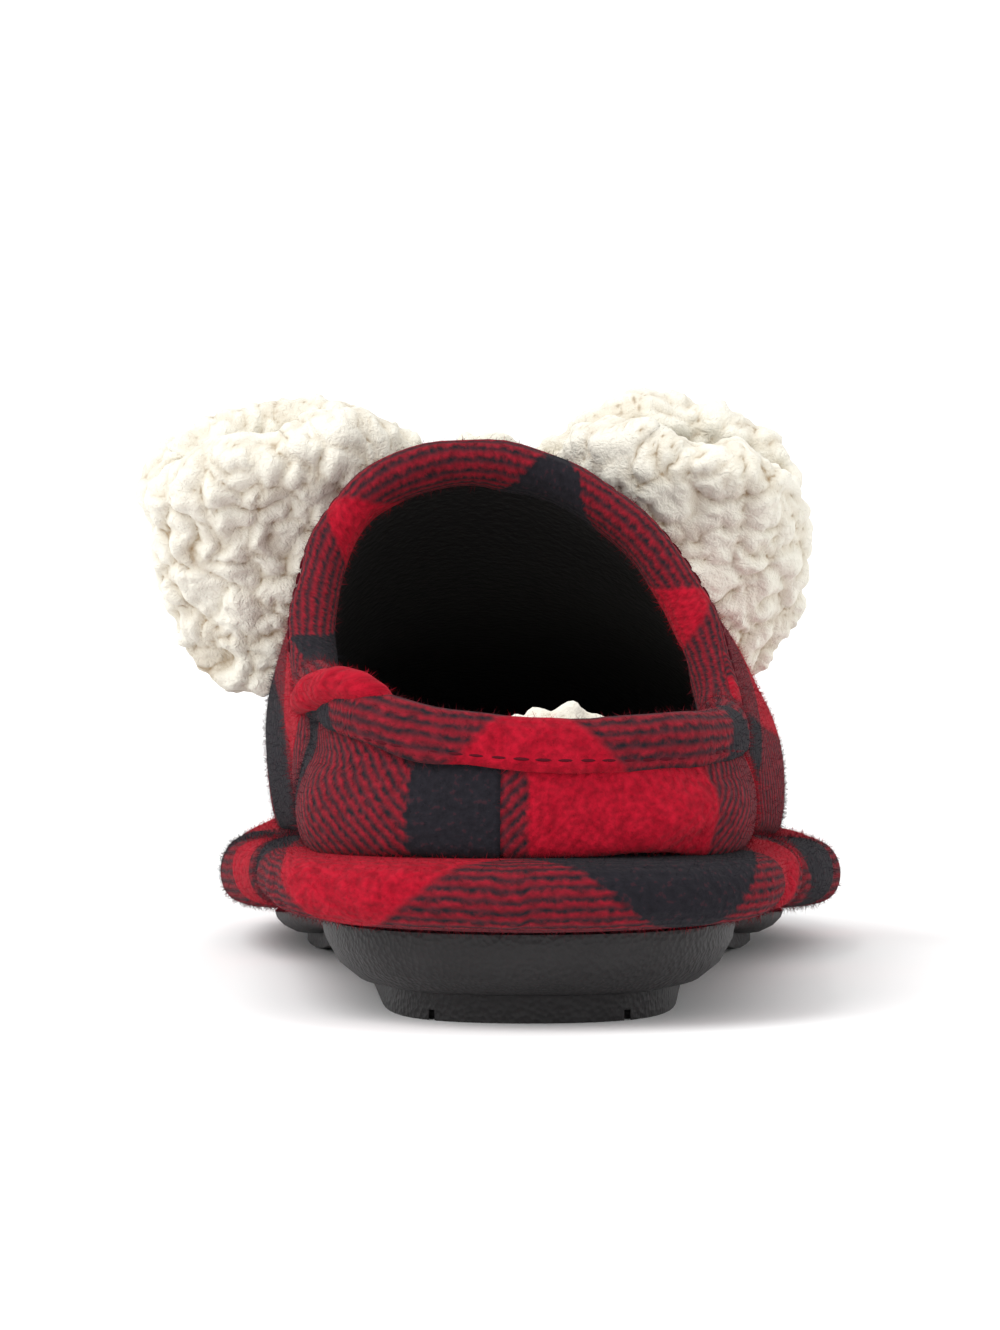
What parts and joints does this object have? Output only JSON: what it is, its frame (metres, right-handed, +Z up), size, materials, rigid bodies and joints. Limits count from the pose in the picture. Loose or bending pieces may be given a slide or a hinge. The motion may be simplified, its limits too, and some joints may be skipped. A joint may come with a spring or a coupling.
{
  "type": "clog slipper",
  "caption": "Right-foot clog slipper with a low heel rim, bound top line, foam platform over a moulded outsole, pile insole and a large pile bow on the vamp.",
  "frame": {"origin": "middle of the shoe's box in plan, on the floor under the sole", "axes": "+Y from heel to toe, +X to the outer side of the foot, +Z up"},
  "size_m": [0.1162, 0.2628, 0.0916],
  "materials": {
    "outsole_rubber": "matt black moulded rubber",
    "platform_plaid": "brushed red and black buffalo check, cut on the bias",
    "upper_plaid": "brushed red and black buffalo check",
    "insole_pile": "cream curled pile",
    "binding_plaid": "brushed red and black twill, cut on the bias",
    "bow_pile": "cream curled pile"
  },
  "bodies": {
    "root": {"outsole": "outsole_rubber", "platform": "platform_plaid", "upper": "upper_plaid", "insole": "insole_pile", "throat_binding": "binding_plaid", "heel_binding": "binding_plaid", "bow_knot": "bow_pile", "bow_loop_lateral": "bow_pile", "bow_loop_medial": "bow_pile"}
  },
  "joints": []
}
